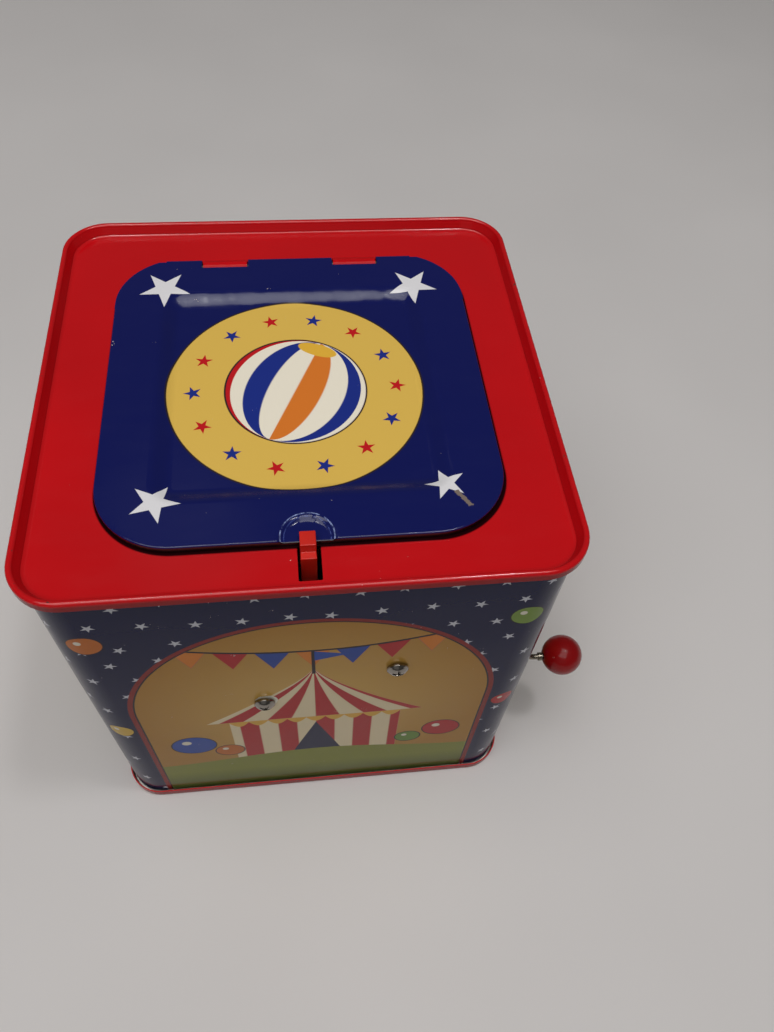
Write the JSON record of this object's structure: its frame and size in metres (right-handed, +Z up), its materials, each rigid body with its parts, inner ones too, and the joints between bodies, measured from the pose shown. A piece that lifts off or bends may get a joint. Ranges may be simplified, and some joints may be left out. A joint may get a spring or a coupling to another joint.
{
  "type": "jack in the box",
  "caption": "Square tin toy box with a hinged, latched lid over a sprung puppet, and a side crank that turns a music movement and trips the latch.",
  "frame": {"origin": "centre of the standing rim, on the surface the box stands on", "axes": "+Z up, +X towards the crank side, -Y towards the front with the latch and the two screws"},
  "size_m": [0.1665, 0.1401, 0.1464],
  "materials": {
    "tin_body": "lithographed and varnished tinplate, navy with printed picture",
    "tin_red": "lithographed and varnished tinplate, red",
    "tin_lid": "lithographed and varnished tinplate, navy with stars and a yellow disc",
    "steel_wire": "drawn wire, bright",
    "latch_plastic": "moulded, satin",
    "spring_steel": "drawn spring wire",
    "frame_plastic": "moulded, matt",
    "chrome_screw": "bright nickel plate",
    "gear_plastic": "moulded nylon",
    "knob_enamel": "glossy enamel on a turned ball",
    "eyelet_brass": "pressed",
    "drum_plastic": "moulded",
    "comb_steel": "ground strip",
    "plywood": "raw birch",
    "robe_cotton": "printed cotton",
    "sleeve_cotton": "plain cotton",
    "felt_hands": "stuffed felt",
    "ruff_cotton": "pleated cotton",
    "painted_wood": "turned and painted, satin",
    "nose_paint": "turned and painted, gloss",
    "hat_felt": "blocked felt",
    "pompom_wool": "wool pom-pom"
  },
  "bodies": {
    "box": {"body_shell": "tin_body", "top_panel": "tin_red", "bottom_panel": "tin_red", "hinge_pin": "steel_wire", "latch_pivot_pin": "steel_wire", "latch_spring": "spring_steel", "movement_frame": "frame_plastic", "frame_screws": "chrome_screw", "side_eyelet": "eyelet_brass", "comb": "comb_steel", "comb_screws": "chrome_screw", "puppet_base": "plywood", "base_rivets": "steel_wire", "spring_staples": "steel_wire", "puppet_spring": "spring_steel"},
    "lid": {"lid": "tin_lid"},
    "latch": {"latch_lever": "latch_plastic"},
    "crank": {"crank_wire": "steel_wire", "crank_pinion": "gear_plastic"},
    "knob": {"crank_knob": "knob_enamel"},
    "drum": {"music_drum": "drum_plastic", "drum_gear": "gear_plastic", "drum_axle": "steel_wire", "release_cam": "gear_plastic"},
    "puppet": {"spring_top_disc": "plywood", "neck_dowel": "plywood", "puppet_robe": "robe_cotton", "puppet_sleeves": "sleeve_cotton", "puppet_hands": "felt_hands", "puppet_ruff": "ruff_cotton", "puppet_head": "painted_wood", "puppet_nose": "nose_paint", "puppet_hat": "hat_felt", "hat_pompoms": "pompom_wool"}
  },
  "joints": [
    {"name": "lid_hinge", "type": "hinge", "parent": "box", "child": "lid", "pos_m": [0, 0.0496, 0.1431], "axis": [-1, 0, 0], "range_deg": [0, 105]},
    {"name": "puppet_rise", "type": "slide", "parent": "box", "child": "puppet", "axis": [0, 0, 1], "range_m": [0, 0.1005], "deforming": ["puppet_spring", "puppet_robe"]},
    {"name": "latch_pivot", "type": "hinge", "parent": "box", "child": "latch", "pos_m": [0.0001, -0.0583, 0.072], "axis": [1, 0, 0], "range_deg": [0, 4], "stiffness_Nm_per_rad": 0.05, "deforming": ["latch_spring"]},
    {"name": "crank_turn", "type": "hinge", "parent": "box", "child": "crank", "pos_m": [0.05, -0.0454, 0.0746], "axis": [-1, 0, 0], "continuous": true},
    {"name": "drum_turn", "type": "hinge", "parent": "box", "child": "drum", "pos_m": [0.017, -0.0454, 0.0956], "axis": [-1, 0, 0], "continuous": true},
    {"name": "knob_spin", "type": "hinge", "parent": "crank", "child": "knob", "pos_m": [0.0893, -0.0454, 0.0446], "axis": [1, 0, 0], "continuous": true}
  ],
  "couplings": [
    {"joint": "puppet_rise", "follows": "lid_hinge", "m_per_rad": 0.05457},
    {"joint": "drum_turn", "follows": "crank_turn", "ratio": -0.16667}
  ]
}
